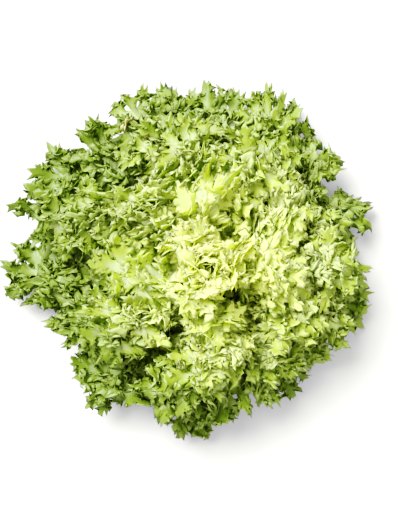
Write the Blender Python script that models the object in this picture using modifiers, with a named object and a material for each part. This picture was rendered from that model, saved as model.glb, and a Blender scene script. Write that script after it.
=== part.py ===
"""A cut head of curly endive, the frilled kind of escarole, standing open on its stem.

The stem is a short turned stub. Every leaf is a solid of its own. The leaves stand in whorls, and each
whorl keeps to its own layer between two bowl-shaped surfaces that spread from the stem, so that no leaf
runs through another however much its edge is waved. Metres, +Z up, origin at the centre of the cut stem.
"""

import math
import random

import bmesh
import bpy

MM = 0.001

# The whole head. Reach is from the stem's axis to the leaf tips, every 15 degrees from +X towards +Y.
REACH_NEAR = (158, 159, 153, 167, 176, 180, 178, 178, 189, 191, 195, 194)
REACH_FAR = (186, 172, 160, 162, 160, 158, 156, 144, 141, 146, 154, 152)
REACH = tuple(r * MM for r in REACH_NEAR + REACH_FAR)
HEAD_TOP = 118 * MM
LOWEST_TIP = 4 * MM
DOME_FULLNESS = 0.8
HEART_CLOSING = 0.6

# The layers between the leaves rise and fall round the head, by this share of its depth.
SWELL = 0.065
SWELLS_ROUND = 3
SWELL_TURN = 2.0

# The stem stub: a flat cut face, a slight bulge above it and a rounded crown that the leaves grow from.
CUT_RADIUS = 16.5 * MM
STEM_RADIUS = 19 * MM
SHOULDER_HEIGHT = 9 * MM
CROWN_HEIGHT = 37 * MM
CROWN_SPAN = math.radians(80)
CROWN_STEPS = 7
WAIST_HEIGHT = 0.4
WAIST_FULLNESS = 0.75
STEM_SIDES = 24
STEM_MERGE = 0.05 * MM
LEAF_SETBACK = 0.7 * MM

# A leaf's midline, as shares of the way to its tip: it climbs from the stem and then bends outward.
# Leaves near the axis climb for longer (the second share) and bend over more sharply.
BEND_OUT = 0.45
BEND_UP = (0.78, 0.97)
OUTER_ARCH = 20 * MM

# Leaf blade. The rib is thickest at the stem. Past the stalk the blade's edge is cut into pointed lobes.
# A leaf has a row of vertices at each station along it, and the lobes start between two of the rows.
# Vertices beside the rib are pulled towards it. One level step inward gives the way through the blade.
# A leaf is first drawn flat, from a grid of 1 by 1, and the corners of its tip are cut less deeply.
RIB_THICK = 2.7 * MM
RIB_TAPER = 1.3
RIB_BREADTH = 0.62
BLADE_THICK = 1.2 * MM
LEVEL_STEP = 0.001
STALK_HALF_WIDTH = 5.4 * MM
BLADE_HALF_WIDTH = 62 * MM
BLADE_OPENS = (0.22, 0.72)
BLADE_CLOSES = (0.78, 1.0)
SPREAD_BY = 0.6
STATIONS = (0.0, 0.15, 0.28, 0.38, 0.47, 0.55, 0.63, 0.71, 0.78, 0.84, 1.0)
LOBES_START = (1.5, 3.5)
ACROSS = 4
INNER_PULL = 1.8
AT_EDGE = 0.98
GRID_HALF = 0.5
ROW_TOLERANCE = 1e-4
FLAT_BREADTH = 0.35
TIP_ROUNDING = 0.13
TIP_HALF_WIDTH = 0.66
LOBE_CUT = (0.30, 0.58)
TIP_CUT = 0.21
CORNER_CUT = 0.25

# How leaves differ: shares of a full length, of a full breadth, of their sector and of their layer's depth.
LENGTHS = (0.94, 1.06)
BREADTHS = (0.85, 1.1)
SECTOR_FILL = 0.94
EDGE_GAP = 1.2 * MM
BLADE_FILL = 0.90
SWAY = 0.09
TWIST = 0.25
LIFT = 0.2
SECTOR_JITTER = 0.16

# Waves, as shares of half the layer's depth: between the lobes, at their points and inside the blade.
NOTCH_WAVE = 0.45
LOBE_WAVE = (0.5, 0.95)
INNER_WAVE = 0.35
WAVE_LIMIT = 0.86
SEED = 41

# Whorls from the outside in: name, number of leaves, azimuth of the first in degrees, top of its layer.
WHORLS = (
    ("outer_leaf", 9, 4, 0.115),
    ("outer_leaf", 8, 24, 0.230),
    ("middle_leaf", 8, 2, 0.345),
    ("middle_leaf", 7, 31, 0.455),
    ("inner_leaf", 6, 10, 0.565),
    ("inner_leaf", 5, 28, 0.675),
    ("heart_leaf", 4, 52, 0.785),
    ("heart_leaf", 3, 68, 0.890),
    ("heart_leaf", 3, 15, 0.970),
)

# Colours are linear, as a Principled BSDF takes them: colour, roughness.
FINISHES = {
    "stem": ((0.80, 0.82, 0.55, 1.0), 0.55),
    "outer_leaf": ((0.22, 0.40, 0.05, 1.0), 0.45),
    "middle_leaf": ((0.34, 0.52, 0.09, 1.0), 0.45),
    "inner_leaf": ((0.52, 0.66, 0.16, 1.0), 0.45),
    "heart_leaf": ((0.72, 0.76, 0.26, 1.0), 0.45),
}


def clear_scene():
    """Remove what the scene holds."""
    for obj in list(bpy.data.objects):
        bpy.data.objects.remove(obj, do_unlink=True)


def mix(a, b, share):
    """The value that lies share of the way from a to b."""
    return a + (b - a) * share


def ease(value, start=0.0, end=1.0):
    """A smooth step from 0 at start to 1 at end."""
    share = min(1.0, max(0.0, (value - start) / (end - start)))
    return share * share * (3 - 2 * share)


def reach(azimuth):
    """How far the head spreads in the direction of this azimuth."""
    place = azimuth / math.tau % 1.0 * len(REACH)
    before = int(place)
    after = (before + 1) % len(REACH)
    return mix(REACH[before], REACH[after], ease(place - before))


def crown_point(level, away=0.0):
    """(radius, height) on the stem's crown at a level, moved away from its surface."""
    turn = level * CROWN_SPAN
    normal_out = math.cos(turn) / STEM_RADIUS
    normal_up = math.sin(turn) / CROWN_HEIGHT
    length = math.hypot(normal_out, normal_up)
    return (
        STEM_RADIUS * math.cos(turn) + away * normal_out / length,
        SHOULDER_HEIGHT + CROWN_HEIGHT * math.sin(turn) + away * normal_up / length,
    )


def layer_point(run, level, azimuth):
    """(radius, height) at run, 0 at the stem and 1 at the tips, on the bowl at this level.

    Level 0 is the outermost bowl, and at level 1 the bowl closes on the head's axis.
    """
    root = crown_point(level, LEAF_SETBACK)
    swell = SWELL * math.sin(math.pi * level) * math.sin(SWELLS_ROUND * azimuth + SWELL_TURN * level)
    lean = (level + swell) * math.pi / 2
    closing = DOME_FULLNESS + HEART_CLOSING * level**4
    tip = (
        reach(azimuth) * max(0.0, math.cos(lean)) ** closing,
        mix(LOWEST_TIP, HEAD_TOP, math.sin(lean)),
    )
    bend = (BEND_OUT * tip[0], mix(*BEND_UP, level**2) * tip[1] + OUTER_ARCH * (1 - level))
    weights = ((1 - run) ** 2, 2 * run * (1 - run), run**2)
    radius = sum(w * p[0] for w, p in zip(weights, (root, bend, tip)))
    height = sum(w * p[1] for w, p in zip(weights, (root, bend, tip)))
    return radius, height


def blade_outline(run, breadth):
    """Half the leaf's width at this run: a narrow stalk that opens into a broad, blunt blade."""
    opening = ease(run, *BLADE_OPENS)
    closing = mix(1.0, TIP_HALF_WIDTH, ease(run, *BLADE_CLOSES))
    return mix(STALK_HALF_WIDTH, BLADE_HALF_WIDTH * breadth * closing, opening)


def flat_place(vert):
    """Where a vertex lies on the flat grid, rounded so that it can be looked up."""
    return round(vert.co.x, 4), round(vert.co.y, 4)


class Leaf:
    """One leaf, set in its own sector of its own layer."""

    def __init__(self, name, azimuth, sector, layer, draw):
        self.name = name
        self.azimuth = azimuth
        self.half_sector = sector / 2 * SECTOR_FILL
        self.layer = layer
        self.length = draw.uniform(*LENGTHS)
        self.breadth = draw.uniform(*BREADTHS)
        self.sway = draw.uniform(-SWAY, SWAY)
        self.twist = draw.uniform(-TWIST, TWIST)
        self.lift = draw.uniform(-LIFT, LIFT)
        self.draw = draw

    def half_angle(self, run):
        """Half the angle round the stem that the uncut blade fills at this run, kept inside the sector."""
        radius, _ = layer_point(run * self.length, sum(self.layer) / 2, self.azimuth)
        fits = radius * self.half_sector - EDGE_GAP
        return fits / radius * BLADE_FILL * math.tanh(blade_outline(run, self.breadth) / fits)

    def place(self, run, side, wave):
        """The two points, one on each face, at run along the leaf and side of its rib, -1 to 1.

        Wave, -1 to 1, is the place through the layer. The thickness runs through the layer too.
        """
        rib = (1 - run) ** RIB_TAPER * max(0.0, 1 - abs(side) / RIB_BREADTH)
        thick = mix(BLADE_THICK, RIB_THICK, rib)
        low, high = self.layer
        open_share = ease(run, 0.0, SPREAD_BY)
        wave += (self.lift + self.twist * side) * open_share
        level = mix(low, high, (1 + max(-WAVE_LIMIT, min(WAVE_LIMIT, wave))) / 2)
        offset = side * self.half_angle(run) + self.sway * self.half_sector * open_share
        middle = layer_point(run * self.length, level, self.azimuth + offset)
        inner = layer_point(run * self.length, level + LEVEL_STEP, self.azimuth + offset)
        half = thick / 2 / math.dist(middle, inner)
        points = []
        for share in (-half, half):
            radius = mix(middle[0], inner[0], share)
            height = mix(middle[1], inner[1], share)
            points.append((radius * math.cos(offset), radius * math.sin(offset), height))
        return points

    def solid(self):
        """The leaf as a closed mesh: a flat blade cut to its outline, made two-sided and then waved."""
        bm = bmesh.new()
        bmesh.ops.create_grid(bm, x_segments=len(STATIONS) - 1, y_segments=ACROSS, size=GRID_HALF)
        rim = [e for e in bm.edges if e.is_boundary]
        edge = [e for e in rim if any(v.co.x > -AT_EDGE / 2 for v in e.verts)]
        notches = {flat_place(vert) for vert in bm.verts}
        bmesh.ops.subdivide_edges(bm, edges=edge, cuts=1)
        waves = {}
        for vert in sorted(bm.verts, key=flat_place):
            run, side, wave = self.shape(*vert.co.xy, flat_place(vert) in notches)
            vert.co = (run, side * FLAT_BREADTH, 0.0)
            waves[flat_place(vert)] = (run, side, wave)
        bmesh.ops.triangulate(bm, faces=bm.faces[:])
        upper = set(bmesh.ops.extrude_face_region(bm, geom=bm.faces[:])["geom"])
        for vert in bm.verts:
            vert.co = self.place(*waves[flat_place(vert)])[vert in upper]
        bmesh.ops.recalc_face_normals(bm, faces=bm.faces[:])
        mesh = bpy.data.meshes.new(self.name)
        bm.to_mesh(mesh)
        bm.free()
        return mesh

    def edge(self, is_notch, lobe):
        """(how far the edge is cut in, its wave) at a notch between two lobes or at a lobe's point."""
        if is_notch:
            return self.draw.uniform(*LOBE_CUT), self.draw.uniform(-1, 1) * NOTCH_WAVE
        return 0.0, self.draw.uniform(*LOBE_WAVE) * (1 if lobe % 2 else -1)

    def shape(self, along, across, is_notch):
        """(run, side, wave) for a vertex of the flat grid, which is 1 by 1 round its middle."""
        rows = len(STATIONS) - 1
        step = (along + GRID_HALF) * rows
        before = min(rows - 1, int(step + ROW_TOLERANCE))
        run = mix(STATIONS[before], STATIONS[before + 1], step - before)
        side = math.copysign(abs(across * 2) ** INNER_PULL, across)
        in_blade = ease(step, *LOBES_START)
        at_tip, at_side = along * 2 > AT_EDGE, abs(side) > AT_EDGE
        cut, wave = 0.0, self.draw.uniform(-1, 1) * INNER_WAVE * abs(side)
        if at_tip or at_side:
            cut, wave = self.edge(is_notch, before + int((side + 1) / 2 * ACROSS))
        if at_side:
            side *= 1 - cut * in_blade * (CORNER_CUT if at_tip else 1)
        run -= TIP_ROUNDING * side * side * ease(run, SPREAD_BY, 1.0)
        if not at_side:
            run -= cut * TIP_CUT
        return run, side, wave * in_blade

    def build(self, collection, material):
        """Make the leaf's object, turned to its azimuth round the stem."""
        mesh = self.solid()
        obj = bpy.data.objects.new(self.name, mesh)
        collection.objects.link(obj)
        obj.rotation_euler = (0.0, 0.0, self.azimuth)
        mesh.materials.append(material)
        mesh.shade_smooth()
        return obj


def make_material(name):
    """A Principled BSDF with this finish's colour and roughness."""
    colour, roughness = FINISHES[name]
    material = bpy.data.materials.new(name)
    material.use_nodes = True
    shader = material.node_tree.nodes["Principled BSDF"]
    shader.inputs["Base Color"].default_value = colour
    shader.inputs["Roughness"].default_value = roughness
    shader.inputs["Metallic"].default_value = 0.0
    material.diffuse_color = colour
    return material


def build_stem(collection, material):
    """Turn the stub from a profile that runs down its outer side, from the crown to the cut face."""
    profile = [(0.0, SHOULDER_HEIGHT + CROWN_HEIGHT)]
    for step in range(1, CROWN_STEPS + 1):
        turn = math.pi / 2 * (1 - step / CROWN_STEPS)
        profile.append((STEM_RADIUS * math.cos(turn), SHOULDER_HEIGHT + CROWN_HEIGHT * math.sin(turn)))
    profile.append((mix(CUT_RADIUS, STEM_RADIUS, WAIST_FULLNESS), SHOULDER_HEIGHT * WAIST_HEIGHT))
    profile.append((CUT_RADIUS, 0.0))
    profile.append((0.0, 0.0))
    mesh = bpy.data.meshes.new("stem")
    edges = [(i, i + 1) for i in range(len(profile) - 1)]
    mesh.from_pydata([(r, 0.0, z) for r, z in profile], edges, [])
    obj = bpy.data.objects.new("stem", mesh)
    collection.objects.link(obj)
    turning = obj.modifiers.new("turning", "SCREW")
    turning.steps = STEM_SIDES
    turning.render_steps = STEM_SIDES
    turning.use_merge_vertices = True
    turning.merge_threshold = STEM_MERGE
    mesh.materials.append(material)
    return obj


def build_head():
    """Build the stem and every leaf of the head."""
    clear_scene()
    collection = bpy.data.collections.new("curly_endive")
    bpy.context.scene.collection.children.link(collection)
    materials = {name: make_material(name) for name in FINISHES}
    build_stem(collection, materials["stem"])
    floor_level = 0.0
    numbers = dict.fromkeys(FINISHES, 0)
    for whorl, (finish, count, first, top_level) in enumerate(WHORLS):
        draw = random.Random(SEED + whorl)
        turns = [first + 360 / count * (n + draw.uniform(-1, 1) * SECTOR_JITTER) for n in range(count)]
        turns.append(turns[0] + 360)
        for start, end in zip(turns, turns[1:]):
            numbers[finish] += 1
            name = f"{finish}_{numbers[finish]:02d}"
            azimuth = math.radians((start + end) / 2)
            sector = math.radians(end - start)
            leaf = Leaf(name, azimuth, sector, (floor_level, top_level), draw)
            leaf.build(collection, materials[finish])
        floor_level = top_level


build_head()
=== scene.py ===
"""The looks of a cut head of curly escarole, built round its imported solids.

Every leaf of the solid model is replaced by one that grows in the same place, to the same length and with the
same lobes, but with the thin blade, toothed fans and curled margins of the real leaf. The stem gets its fibrous
skin and its browned cut. Lengths are in millimetres until a mesh is made, and in metres from there on.
"""

import functools
import logging
import math
import random
from dataclasses import dataclass, field
from enum import Enum
from typing import Any, Callable

import bpy
import numpy as np
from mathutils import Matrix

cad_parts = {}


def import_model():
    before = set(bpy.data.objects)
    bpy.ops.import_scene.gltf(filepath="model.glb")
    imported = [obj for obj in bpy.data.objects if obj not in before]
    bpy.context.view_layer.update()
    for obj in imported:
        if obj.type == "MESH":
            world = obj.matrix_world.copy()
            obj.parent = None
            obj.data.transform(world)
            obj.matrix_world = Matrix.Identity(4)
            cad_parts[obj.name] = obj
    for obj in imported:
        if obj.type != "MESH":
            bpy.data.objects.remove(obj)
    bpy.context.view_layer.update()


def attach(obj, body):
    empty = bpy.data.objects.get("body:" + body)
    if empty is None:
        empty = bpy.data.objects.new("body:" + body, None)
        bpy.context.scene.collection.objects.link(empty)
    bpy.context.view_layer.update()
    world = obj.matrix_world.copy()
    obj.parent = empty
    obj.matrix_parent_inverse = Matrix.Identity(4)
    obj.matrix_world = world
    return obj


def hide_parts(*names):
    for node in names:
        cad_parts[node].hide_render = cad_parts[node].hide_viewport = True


MM = 0.001
log = logging.getLogger("escarole")

Array = np.ndarray
Colour = tuple[float, float, float, float]
Stops = tuple[tuple[float, str], ...]
Bends = tuple[tuple[float, float], ...]


class LeafGroup(Enum):
    """The four ages of leaf, named as the record's material slots are."""

    OUTER = "outer_leaf"
    MIDDLE = "middle_leaf"
    INNER = "inner_leaf"
    HEART = "heart_leaf"


def linear(hex_colour: str) -> Colour:
    """Turns an sRGB hex colour into linear values.

    Args:
        hex_colour: The colour as "#rrggbb".

    Returns:
        Linear red, green and blue, and an alpha of 1.
    """
    parts = (int(hex_colour[i : i + 2], 16) / 255 for i in (1, 3, 5))
    red, green, blue = (p / 12.92 if p <= 0.04045 else ((p + 0.055) / 1.055) ** 2.4 for p in parts)
    return red, green, blue, 1.0


def mix(a: Any, b: Any, share: Any) -> Any:
    """Gives the value that lies share of the way from a to b."""
    return a + (b - a) * share


def ease(value: Any, start: float = 0.0, end: float = 1.0) -> Any:
    """Gives a smooth step from 0 at start to 1 at end."""
    share = np.clip((value - start) / (end - start), 0.0, 1.0)
    return share * share * (3 - 2 * share)


def new_material(name: str) -> bpy.types.Material:
    """Makes a material with an empty node tree.

    Args:
        name: The real surface that it stands for.

    Returns:
        The material.
    """
    material = bpy.data.materials.new(name)
    material.use_nodes = True
    material.node_tree.nodes.clear()
    return material


def add_node(
    tree: bpy.types.NodeTree, kind: str, links: dict[Any, Any], output: Any = 0, **settings: Any
) -> Any:
    """Adds a shader node.

    Args:
        tree: The node tree that takes the node.
        kind: Blender's name for the node, without its "ShaderNode".
        links: What goes into each input, by name or number: a socket to link, or a constant.
        output: The name or number of the output that is asked for.
        settings: The node's properties, and as "stops" the places and colours of a colour ramp.

    Returns:
        That output, or nothing from a node that has none.
    """
    node = tree.nodes.new("ShaderNode" + kind)
    for name, value in settings.items():
        if name == "stops":
            elements = node.color_ramp.elements
            while len(elements) < len(value):
                elements.new(0.5)
            for element, (place, colour) in zip(elements, value):
                element.position = place
                element.color = linear(colour)
        else:
            setattr(node, name, value)
    for name, value in links.items():
        if isinstance(value, bpy.types.NodeSocket):
            tree.links.new(value, node.inputs[name])
        else:
            node.inputs[name].default_value = value
    return node.outputs[output] if node.outputs else None


@dataclass(frozen=True)
class HeadForm:
    """The bowl-shaped surfaces between which the leaves grow, as in the solid model."""

    reach: tuple[int, ...] = (
        158, 159, 153, 167, 176, 180, 178, 178, 189, 191, 195, 194,
        186, 172, 160, 162, 160, 158, 156, 144, 141, 146, 154, 152,
    )  # fmt: skip
    head_top: float = 118
    lowest_tip: float = 4
    dome_fullness: float = 0.8
    heart_closing: float = 0.6
    swell: float = 0.065
    swells_round: int = 3
    swell_turn: float = 2.0
    stem_radius: float = 19
    shoulder_height: float = 9
    crown_height: float = 37
    crown_span: float = math.radians(80)
    root_depth: float = 1.5
    bend_out: float = 0.45
    bend_up: tuple[float, float] = (0.78, 0.97)
    outer_arch: float = 20

    def reach_at(self, azimuth: Array) -> Array:
        """Says how far the head spreads.

        Args:
            azimuth: Directions round the stem, in radians.

        Returns:
            The reach in each direction.
        """
        reach = np.array(self.reach, float)
        place = azimuth / math.tau % 1.0 * len(reach)
        before = place.astype(int) % len(reach)
        return mix(reach[before], reach[(before + 1) % len(reach)], ease(place - np.floor(place)))

    def bowl(self, run: Array, level: Array, azimuth: Array) -> tuple[Array, Array]:
        """Gives points on the bowls.

        Args:
            run: 0 at the stem and 1 at the leaf tips.
            level: 0 for the outermost bowl and 1 for the one that closes on the axis.
            azimuth: The direction round the stem, in radians.

        Returns:
            The radius and the height of each point.
        """
        turn = level * self.crown_span
        root = (
            (self.stem_radius - self.root_depth) * np.cos(turn),
            self.shoulder_height + (self.crown_height - self.root_depth) * np.sin(turn),
        )
        ripple = np.sin(self.swells_round * azimuth + self.swell_turn * level)
        lean = (level + self.swell * np.sin(math.pi * level) * ripple) * math.pi / 2
        closing = self.dome_fullness + self.heart_closing * level**4
        tip = (
            self.reach_at(azimuth) * np.maximum(0.0, np.cos(lean)) ** closing,
            mix(self.lowest_tip, self.head_top, np.sin(lean)),
        )
        lift = mix(*self.bend_up, level**2)
        bend = (self.bend_out * tip[0], lift * tip[1] + self.outer_arch * (1 - level))
        weights = ((1 - run) ** 2, 2 * run * (1 - run), run**2)
        radius, height = (sum(w * p[i] for w, p in zip(weights, (root, bend, tip))) for i in (0, 1))
        return radius, height


@dataclass(frozen=True)
class Growth:
    """How the leaves are set out and cut into lobes: the numbers and the draws of the solid model."""

    whorls: tuple[tuple[LeafGroup, int, float, float], ...] = (
        (LeafGroup.OUTER, 9, 4, 0.115),
        (LeafGroup.OUTER, 8, 24, 0.230),
        (LeafGroup.MIDDLE, 8, 2, 0.345),
        (LeafGroup.MIDDLE, 7, 31, 0.455),
        (LeafGroup.INNER, 6, 10, 0.565),
        (LeafGroup.INNER, 5, 28, 0.675),
        (LeafGroup.HEART, 4, 52, 0.785),
        (LeafGroup.HEART, 3, 68, 0.890),
        (LeafGroup.HEART, 3, 15, 0.970),
    )
    seed: int = 41
    sector_jitter: float = 0.16
    sector_fill: float = 0.94
    edge_gap: float = 1.2
    blade_fill: float = 0.90
    lengths: tuple[float, float] = (0.94, 1.06)
    breadths: tuple[float, float] = (0.85, 1.1)
    sway: float = 0.09
    twist: float = 0.25
    lift: float = 0.2
    stations: tuple[float, ...] = (0.0, 0.15, 0.28, 0.38, 0.47, 0.55, 0.63, 0.71, 0.78, 0.84, 1.0)
    across: int = 4
    lobes_start: tuple[float, float] = (1.5, 3.5)
    inner_pull: float = 1.8
    at_edge: float = 0.98
    tip_rounding: float = 0.13
    spread_by: float = 0.6
    lobe_cut: tuple[float, float] = (0.30, 0.58)
    tip_cut: float = 0.21
    corner_cut: float = 0.25
    notch_wave: float = 0.45
    lobe_wave: tuple[float, float] = (0.5, 0.95)
    inner_wave: float = 0.35
    stalk_half_width: float = 5.4
    blade_half_width: float = 62
    tip_half_width: float = 0.66
    blade_opens: tuple[float, float] = (0.22, 0.72)
    blade_closes: tuple[float, float] = (0.78, 1.0)

    def outline(self, run: Array, breadth: float) -> Array:
        """Draws the uncut leaf.

        Args:
            run: 0 at the stem and 1 at the leaf's tip.
            breadth: The leaf's breadth as a share of the usual one.

        Returns:
            Half the leaf's width at each run.
        """
        closing = mix(1.0, self.tip_half_width, ease(run, *self.blade_closes))
        width = self.blade_half_width * breadth * closing
        return mix(self.stalk_half_width, width, ease(run, *self.blade_opens))


@dataclass
class LeafPlan:
    """Where one leaf grows, how it differs from the others, and where its edge is cut."""

    node: str
    group: LeafGroup
    whorl: int
    azimuth: float
    half_sector: float
    low: float
    high: float
    length: float
    breadth: float
    sway: float
    twist: float
    lift: float
    edge: list[tuple[float, float, float]] = field(default_factory=list)


class Planter:
    """Plans every leaf with the solid model's random draws, so that each lobe falls where its solid has it."""

    def __init__(self, growth: Growth) -> None:
        """Keeps the numbers to plan with."""
        self.growth = growth

    def plan(self) -> list[LeafPlan]:
        """Plans the head.

        Returns:
            The plan of every leaf, from the outermost whorl inwards.
        """
        g = self.growth
        plans: list[LeafPlan] = []
        floor_level = 0.0
        numbers = dict.fromkeys(LeafGroup, 0)
        for whorl, (group, count, first, top_level) in enumerate(g.whorls):
            draw = random.Random(g.seed + whorl)
            turns = [first + 360 / count * (n + draw.uniform(-1, 1) * g.sector_jitter) for n in range(count)]
            turns.append(turns[0] + 360)
            for start, end in zip(turns, turns[1:]):
                numbers[group] += 1
                plan = LeafPlan(
                    node=f"{group.value}_{numbers[group]:02d}",
                    group=group,
                    whorl=whorl,
                    azimuth=math.radians((start + end) / 2),
                    half_sector=math.radians(end - start) / 2 * g.sector_fill,
                    low=floor_level,
                    high=top_level,
                    length=draw.uniform(*g.lengths),
                    breadth=draw.uniform(*g.breadths),
                    sway=draw.uniform(-g.sway, g.sway),
                    twist=draw.uniform(-g.twist, g.twist),
                    lift=draw.uniform(-g.lift, g.lift),
                )
                plan.edge = self.edge(draw)
                plans.append(plan)
            floor_level = top_level
        return plans

    def edge(self, draw: random.Random) -> list[tuple[float, float, float]]:
        """Cuts the leaf's edge.

        Args:
            draw: The whorl's random numbers.

        Returns:
            (run, side, wave) of every notch and lobe point in turn, from the stalk round the tip and back.
        """
        g = self.growth
        rows, half = len(g.stations) - 1, 0.5
        lines = range(g.across + 1)
        grid = {(i / rows - half, j / g.across - half): True for i in range(rows + 1) for j in lines}
        for i in range(rows):
            grid |= {((i + half) / rows - half, side): False for side in (-half, half)}
        grid |= {(half, (j + half) / g.across - half): False for j in range(g.across)}
        shaped = {}
        for place in sorted(grid, key=lambda p: (round(p[0], 4), round(p[1], 4))):
            shaped[round(place[0], 4), round(place[1], 4)] = self.shape(*place, grid[place], draw)
        side_steps = [round(i / (2 * rows) - half, 4) for i in range(2 * rows + 1)]
        tip_steps = [round(j / (2 * g.across) - half, 4) for j in range(1, 2 * g.across)]
        walk = [(x, -half) for x in side_steps] + [(half, y) for y in tip_steps]
        walk += [(x, half) for x in reversed(side_steps)]
        return [shaped[place] for place in walk]

    def shape(
        self, along: float, across: float, is_notch: bool, draw: random.Random
    ) -> tuple[float, float, float]:
        """Shapes a point of the flat leaf, with the draws that the solid leaf makes there.

        Args:
            along: From -0.5 at the stem to 0.5 at the tip.
            across: From -0.5 on one side to 0.5 on the other.
            is_notch: Whether an edge point is a notch and not a lobe's point.
            draw: The whorl's random numbers.

        Returns:
            Its run, side and wave.
        """
        g = self.growth
        rows = len(g.stations) - 1
        step = (along + 0.5) * rows
        before = min(rows - 1, int(step + 1e-4))
        run = mix(g.stations[before], g.stations[before + 1], step - before)
        side = math.copysign(abs(across * 2) ** g.inner_pull, across)
        in_blade = float(ease(step, *g.lobes_start))
        at_tip, at_side = along * 2 > g.at_edge, abs(side) > g.at_edge
        cut, wave = 0.0, draw.uniform(-1, 1) * g.inner_wave * abs(side)
        if at_tip or at_side:
            lobe = before + int((side + 1) / 2 * g.across)
            if is_notch:
                cut, wave = draw.uniform(*g.lobe_cut), draw.uniform(-1, 1) * g.notch_wave
            else:
                wave = draw.uniform(*g.lobe_wave) * (1 if lobe % 2 else -1)
        if at_side:
            side *= 1 - cut * in_blade * (g.corner_cut if at_tip else 1)
        run -= g.tip_rounding * side * side * float(ease(run, g.spread_by, 1.0))
        if not at_side:
            run -= cut * g.tip_cut
        return run, side, wave * in_blade


@dataclass(frozen=True)
class Habit:
    """What sets one group's fans apart. The heart's lie open like petals, over those round them."""

    breadth: tuple[float, float]  # half a fan's width
    longest: float
    first_lobe: int  # lobes nearer to the stalk than this one have no fan
    rib_fans: tuple[int, int]  # the lobes where fans stand beside the rib
    pitch: float
    curl: float
    most_wave: float  # how far a fan may rise through its layer, in half layers
    frilled: float = 1.0
    rib_fan_pitch: tuple[float, float] = (0.5, 1.2)
    browns: bool = False  # whether a few of its fans have browned tips


HABITS = {
    LeafGroup.OUTER: Habit(
        (7.0, 11.5), longest=29, first_lobe=3, rib_fans=(6, 11),
        pitch=0.0, curl=0.1, most_wave=1.3,
    ),
    LeafGroup.MIDDLE: Habit(
        (6.5, 11.0), longest=26, first_lobe=1, rib_fans=(4, 11),
        pitch=-0.1, curl=0.0, most_wave=1.5, browns=True,
    ),
    LeafGroup.INNER: Habit(
        (8.0, 12.5), longest=28, first_lobe=1, rib_fans=(0, 10),
        pitch=-0.4, curl=-0.4, most_wave=1.9, frilled=0.9,
    ),
    LeafGroup.HEART: Habit(
        (11.0, 17.0), longest=33, first_lobe=4, rib_fans=(1, 8),
        pitch=-0.85, curl=-0.6, most_wave=3.0, frilled=0.5, rib_fan_pitch=(0.3, 1.0),
    ),
}


@dataclass(frozen=True)
class Frill:
    """How the real leaf's edge differs from the solid's: toothed, curled and ruffled fans, in millimetres."""

    # Teeth on each side of a fan, for the lobes from the stalk to the leaf's tip, and the profile of a tooth.
    teeth: tuple[int, ...] = (0, 6, 7, 8, 9, 11, 12, 12, 12, 12, 12, 12)
    tooth_profile: tuple[float, ...] = (0.0, 0.34, 1.0)
    tooth_length: tuple[float, float] = (2.5, 5.8)
    tooth_lean: float = 0.45
    tooth_lift: float = 1.8
    fan_rows: tuple[float, ...] = (0.0, 0.38, 0.68, 0.88, 1.0)
    row_shares: tuple[float, ...] = (0.10, 0.20, 0.36, 0.60, 1.0)
    # How deep the blade is cut: what is left of the way from the rib to the solid's notch.
    cut_to: tuple[float, float] = (0.40, 0.70)
    tip_cut: float = 9.0
    neck: tuple[float, float] = (2.6, 4.2)
    pitch: float = 0.3
    # Smaller fans stand on the blade beside the rib and lean over it.
    rib_fan_teeth: int = 7
    rib_fan_length: tuple[float, float] = (13.0, 20.0)
    rib_fan_scale: float = 0.8
    rib_fan_base: float = 3.0
    rib_fan_places: tuple[float, float] = (0.3, 0.75)
    rib_fan_swing: float = 1.3
    fan_length: tuple[float, float] = (0.75, 1.2)
    least_length: float = 17.0
    fan_swing: float = 0.6
    straight: float = 0.15  # the share of a fan that doesn't curl
    turned_over: float = 0.3  # the share of the fans that curl the other way from their lobe's
    curl: tuple[float, float] = (0.2, 1.6)
    twist: float = 1.1
    cup: float = 0.5
    uneven: tuple[float, float] = (0.86, 1.14)
    # A fan is slit into fingers on each side, and each finger rises or sinks.
    slits: tuple[int, int] = (2, 3)
    slit_start: float = 0.28
    slit_span: float = 0.66
    fingers_start: float = 0.2
    slit_depth: tuple[float, float] = (0.40, 0.80)
    slit_width: float = 0.036
    finger_lift: tuple[float, float] = (0.6, 3.0)
    # The margin waves broadly and, nearer to it, finely: half waves to a side, and how high they go.
    waves: tuple[float, float] = (1.2, 2.4)
    ruffle: tuple[float, float] = (1.4, 3.4)
    fine_waves: tuple[float, float] = (5.0, 8.0)
    fine_ruffle: tuple[float, float] = (1.0, 2.7)
    ruffle_powers: tuple[float, float] = (1.8, 2.4)  # how suddenly each kind of wave grows towards the edge
    overhang: float = 0.6
    lamina_wave: float = 1.5
    lamina_wavelengths: tuple[float, float] = (5.1, 4.3)
    lamina_waves_start: tuple[float, float] = (25.0, 70.0)
    lobe_wave_share: float = 0.7
    floor_room: float = 4.0
    top_room: float = 7.0
    side_room: float = 9.0
    rib_thick: tuple[float, float] = (4.2, 1.3)
    rib_half_width: float = 2.4
    rib_behind: float = 0.9  # a lobe leaves the rib at this share of the way to its notch
    rib_end: float = 5.0
    blade_thick: float = 0.55
    spine: float = 0.74
    hub: float = 0.42
    browned: float = 0.004


@dataclass
class FanShape:
    """How one fan pitches, curls, twists, cups and ruffles."""

    length: float
    pitch: float
    breadth: float
    neck: float
    curl: float
    twist: float
    cup: float
    ruffle: float
    waves: float
    phase: float
    fine_ruffle: float
    fine_waves: float
    fine_phase: float
    burn: float
    wave: float


def resample(line: Array, u: Array) -> Array:
    """Gives the points at the shares u of a line's length."""
    lengths = np.concatenate([[0.0], np.cumsum(np.hypot(*np.diff(line, axis=0).T))])
    return np.stack([np.interp(u * lengths[-1], lengths, line[:, i]) for i in (0, 1)], 1)


@dataclass
class Spots:
    """Places in a leaf's layer, in millimetres, with the directions and the depth of the layer there."""

    points: Array
    outward: Array
    around: Array
    up: Array
    depth: Array


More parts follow.
